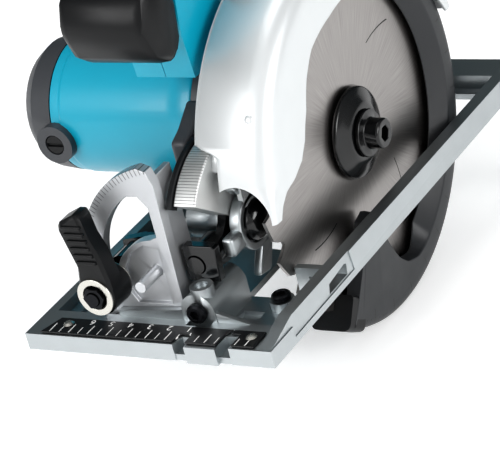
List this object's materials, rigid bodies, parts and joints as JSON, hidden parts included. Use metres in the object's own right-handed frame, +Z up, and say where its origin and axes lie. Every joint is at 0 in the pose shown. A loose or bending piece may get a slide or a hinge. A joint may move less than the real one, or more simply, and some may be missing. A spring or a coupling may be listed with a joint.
{
  "type": "cordless circular saw",
  "caption": "Compact cordless circular saw with tilting cast shoe, depth hinge, swinging blade guard, geared motor, rear handle with trigger and slide-on battery.",
  "frame": {"origin": "on the sole of the shoe, midway across it and 135 mm behind its front edge", "axes": "+Z up from the sole, +Y towards the rear of the saw, +X towards the blade side"},
  "size_m": [0.1665, 0.281, 0.2353],
  "materials": {
    "black_plastic": "matte",
    "blade_steel": "satin",
    "carbon": "matte",
    "cast_aluminium": "satin",
    "cell_wrap": "satin",
    "copper": "satin",
    "dark_steel": "satin",
    "grey_plastic": "satin",
    "lamination": "satin",
    "red_plastic": "gloss",
    "rubber": "matte",
    "spring_steel": "satin",
    "teal_plastic": "gloss",
    "trigger_grey": "satin",
    "white_paint": "satin",
    "zinc_steel": "polished"
  },
  "bodies": {
    "shoe": {"shoe": "cast_aluminium", "scale_left": "black_plastic", "scale_right": "black_plastic", "scale_rivet_left": "zinc_steel", "scale_rivet_right": "zinc_steel", "bevel_quadrant": "cast_aluminium", "bevel_hinge_plate": "black_plastic", "quadrant_screw": "dark_steel", "fence_screw": "dark_steel", "bevel_pin_front": "zinc_steel", "bevel_pin_rear": "zinc_steel"},
    "tilt": {"tilt_bracket": "black_plastic", "depth_guide": "dark_steel", "bevel_bolt": "zinc_steel", "bevel_washer": "zinc_steel"},
    "bevel_lever": {"bevel_lever": "black_plastic", "bevel_nut": "dark_steel"},
    "body": {"blade_case": "white_paint", "sector_band": "rubber", "gear_housing": "grey_plastic", "motor_housing": "teal_plastic", "motor_end_cap": "grey_plastic", "brush_cap_front": "black_plastic", "brush_cap_rear": "black_plastic", "carbon_brush_front": "carbon", "carbon_brush_rear": "carbon", "stator": "lamination", "motor_bearing_front": "zinc_steel", "motor_bearing_rear": "zinc_steel", "spindle_bearing": "zinc_steel", "depth_pin": "dark_steel", "depth_bolt": "zinc_steel", "handle_left": "teal_plastic", "handle_right": "teal_plastic", "handle_screw_1": "black_plastic", "handle_screw_2": "black_plastic", "front_grip": "black_plastic", "switch": "black_plastic", "battery_rail": "black_plastic", "guard_spring": "spring_steel"},
    "depth_lever": {"depth_lever": "black_plastic"},
    "lower_guard": {"lower_guard": "grey_plastic"},
    "spindle": {"spindle": "zinc_steel", "gear_wheel": "zinc_steel", "inner_flange": "dark_steel", "blade": "blade_steel", "outer_flange": "dark_steel", "blade_bolt": "dark_steel"},
    "rotor": {"armature": "copper", "pinion": "zinc_steel", "pinion_pin": "zinc_steel", "motor_fan": "grey_plastic"},
    "trigger": {"trigger": "trigger_grey"},
    "lock_off": {"lock_off": "black_plastic"},
    "shaft_lock": {"shaft_lock": "black_plastic"},
    "battery": {"battery_case": "black_plastic", "battery_cells": "cell_wrap"},
    "battery_button": {"battery_button": "red_plastic"}
  },
  "joints": [
    {"name": "bevel", "type": "hinge", "parent": "shoe", "child": "tilt", "pos_m": [0.016, -0.1, 0.03], "axis": [0, 1, 0], "range_deg": [0, 22]},
    {"name": "bevel_clamp", "type": "hinge", "parent": "tilt", "child": "bevel_lever", "pos_m": [-0.0224, -0.122, 0.0262], "axis": [0, 1, 0], "range_deg": [-30, 0]},
    {"name": "depth", "type": "hinge", "parent": "tilt", "child": "body", "pos_m": [0.016, -0.0761, 0.0363], "axis": [1, 0, 0], "range_deg": [-5, 16]},
    {"name": "depth_clamp", "type": "hinge", "parent": "body", "child": "depth_lever", "pos_m": [0.016, 0.04886, 0.07213], "axis": [1, 0, 0], "range_deg": [0, 50]},
    {"name": "guard_swing", "type": "hinge", "parent": "body", "child": "lower_guard", "pos_m": [0.042, -0.0046, 0.0407], "axis": [1, 0, 0], "range_deg": [0, 110], "stiffness_Nm_per_rad": 0.25, "springref_deg": -34.38},
    {"name": "blade_spin", "type": "hinge", "parent": "body", "child": "spindle", "pos_m": [0.042, -0.0046, 0.0407], "axis": [1, 0, 0], "continuous": true},
    {"name": "rotor_spin", "type": "hinge", "parent": "body", "child": "rotor", "pos_m": [0, -0.02, 0.0625], "axis": [1, 0, 0], "continuous": true},
    {"name": "trigger_pull", "type": "hinge", "parent": "body", "child": "trigger", "pos_m": [-0.003, -0.02, 0.162], "axis": [1, 0, 0], "range_deg": [0, 10], "stiffness_Nm_per_rad": 0.3, "springref_deg": -5.73},
    {"name": "lock_off_push", "type": "slide", "parent": "body", "child": "lock_off", "axis": [1, 0, 0], "range_m": [-0.003, 0.003], "stiffness_N_per_m": 300},
    {"name": "shaft_lock_push", "type": "slide", "parent": "body", "child": "shaft_lock", "axis": [1, 0, 0], "range_m": [0, 0.004], "stiffness_N_per_m": 300, "springref_m": -0.001},
    {"name": "battery_slide", "type": "slide", "parent": "body", "child": "battery", "axis": [0, 1, 0], "range_m": [0, 0.06]},
    {"name": "battery_release", "type": "slide", "parent": "battery", "child": "battery_button", "axis": [0, -1, 0], "range_m": [0, 0.0018], "stiffness_N_per_m": 300, "springref_m": -0.001}
  ],
  "couplings": [
    {"joint": "rotor_spin", "follows": "blade_spin", "ratio": -3}
  ]
}
